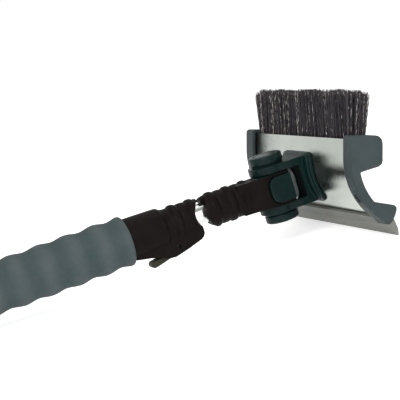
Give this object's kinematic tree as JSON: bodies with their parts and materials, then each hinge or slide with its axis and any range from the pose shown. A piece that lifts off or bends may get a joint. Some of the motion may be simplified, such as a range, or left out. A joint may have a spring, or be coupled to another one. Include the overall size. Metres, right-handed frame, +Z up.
{
  "type": "snow brush scraper",
  "caption": "Extending car snow brush: foam grip, lever-locked sliding tube and a swivelling head with a brush, a curved metal plate and a scraper edge.",
  "frame": {"origin": "middle of the bounding box on the floor, with the tool lying on its scraper edge and on the last bump of its grip", "axes": "+X runs along the handle towards the head, +Y along the head to the left seen from the grip, +Z up; the handle rises about 3 degrees towards the head"},
  "size_m": [0.6084, 0.254, 0.1309],
  "materials": {
    "foam": "matte slate foam",
    "sleeve_plastic": "satin",
    "clevis_plastic": "satin",
    "cap_plastic": "satin",
    "blade_plastic": "satin",
    "hub_plastic": "satin",
    "lever_plastic": "satin",
    "block_plastic": "matte",
    "bristle": "matte bristle",
    "plate_metal": "polished",
    "tube_metal": "polished",
    "fixed_tube_metal": "satin",
    "steel": "satin",
    "cap_rubber": "matte"
  },
  "bodies": {
    "handle": {"foam_grip": "foam", "outer_tube": "fixed_tube_metal", "butt_cap": "cap_rubber", "lock_collar": "sleeve_plastic", "collar_screw": "steel", "guide_bush": "hub_plastic", "lever_pin": "steel", "lever_spring": "steel"},
    "lever": {"lock_lever": "lever_plastic", "lock_stud": "steel"},
    "slider": {"inner_tube": "tube_metal", "tube_end_plug": "cap_rubber", "front_sleeve": "sleeve_plastic", "sleeve_pin": "steel", "pivot_hub": "hub_plastic", "button_spring": "steel"},
    "button": {"release_button": "clevis_plastic", "latch_frame": "steel"},
    "head": {"index_disc": "steel", "pivot_clevis": "clevis_plastic", "pivot_bolt": "steel", "pivot_nut": "steel", "upper_washer": "steel", "lower_washer": "steel", "upper_pivot_cap": "clevis_plastic", "lower_pivot_cap": "clevis_plastic", "head_plate": "plate_metal", "right_end_cap": "cap_plastic", "left_end_cap": "cap_plastic", "right_cap_screw": "steel", "left_cap_screw": "steel", "clamp_plate": "steel", "clevis_screw_1": "steel", "clevis_screw_2": "steel", "clevis_screw_3": "steel", "clevis_screw_4": "steel", "brush_block": "block_plastic", "bristles": "bristle", "scraper_blade": "blade_plastic"}
  },
  "joints": [
    {"name": "telescope", "type": "slide", "parent": "handle", "child": "slider", "axis": [0.9984, 0, 0.0569], "range_m": [0, 0.252]},
    {"name": "lock_lever_hinge", "type": "hinge", "parent": "handle", "child": "lever", "pos_m": [0.13475, 0, 0.02612], "axis": [0, 1, 0], "range_deg": [0, 12], "stiffness_Nm_per_rad": 0.3, "springref_deg": -8.59, "deforming": ["lever_spring"]},
    {"name": "head_swivel", "type": "hinge", "parent": "slider", "child": "head", "pos_m": [0.23939, 0, 0.05132], "axis": [-0.0569, 0, 0.9984], "range_deg": [-90, 90]},
    {"name": "button_press", "type": "slide", "parent": "slider", "child": "button", "axis": [0, 1, 0], "range_m": [0, 0.003], "stiffness_N_per_m": 800, "springref_m": -0.002, "deforming": ["button_spring"]}
  ]
}
